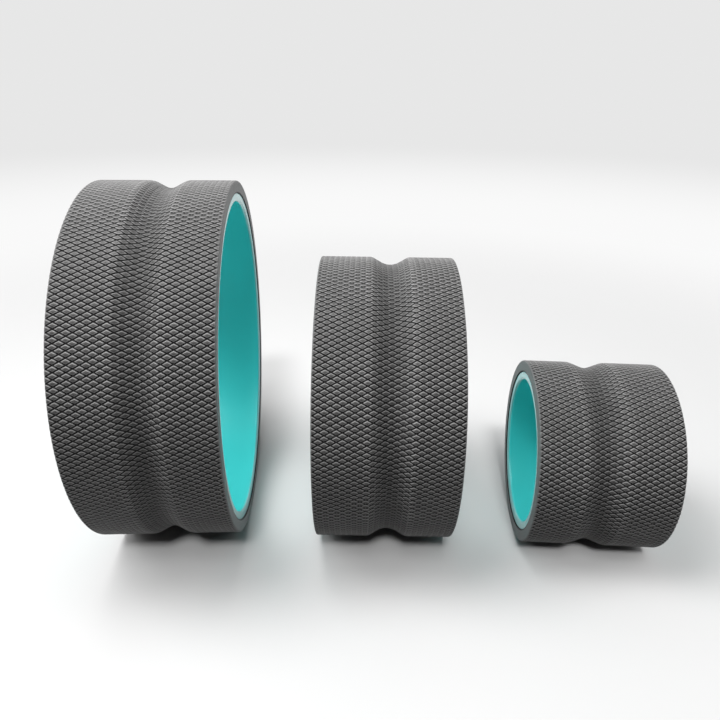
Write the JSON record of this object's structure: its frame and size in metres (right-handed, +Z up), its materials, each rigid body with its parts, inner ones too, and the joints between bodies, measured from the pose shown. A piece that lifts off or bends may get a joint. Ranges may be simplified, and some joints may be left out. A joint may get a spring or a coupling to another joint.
{
  "type": "yoga wheel set",
  "caption": "Nesting yoga and back-stretch wheels: rigid plastic hoops with bonded foam grip covers, each with a rounded groove for the spine, standing in a row.",
  "frame": {"origin": "middle of the row on the floor that the wheels stand on", "axes": "+X along the row from the large to the small wheel, +Y away from the front, +Z up"},
  "size_m": [0.5256, 0.3358, 0.33],
  "materials": {
    "hoop_plastic": "glossy moulded plastic",
    "adhesive": "cured adhesive film",
    "grip_foam": "matte closed-cell foam, diamond embossed"
  },
  "bodies": {
    "large_wheel": {"large_hoop": "hoop_plastic", "large_adhesive_film": "adhesive", "large_grip_cover": "grip_foam"},
    "medium_wheel": {"medium_hoop": "hoop_plastic", "medium_adhesive_film": "adhesive", "medium_grip_cover": "grip_foam"},
    "small_wheel": {"small_hoop": "hoop_plastic", "small_adhesive_film": "adhesive", "small_grip_cover": "grip_foam"}
  },
  "joints": [
    {"name": "medium_wheel_roll", "type": "hinge", "parent": "large_wheel", "child": "medium_wheel", "pos_m": [0.00363, -0.0113, 0.1325], "axis": [1, -0.0052, 0], "continuous": true},
    {"name": "small_wheel_roll", "type": "hinge", "parent": "large_wheel", "child": "small_wheel", "pos_m": [0.19753, -0.0363, 0.0865], "axis": [0.9987, -0.0506, 0], "continuous": true}
  ]
}
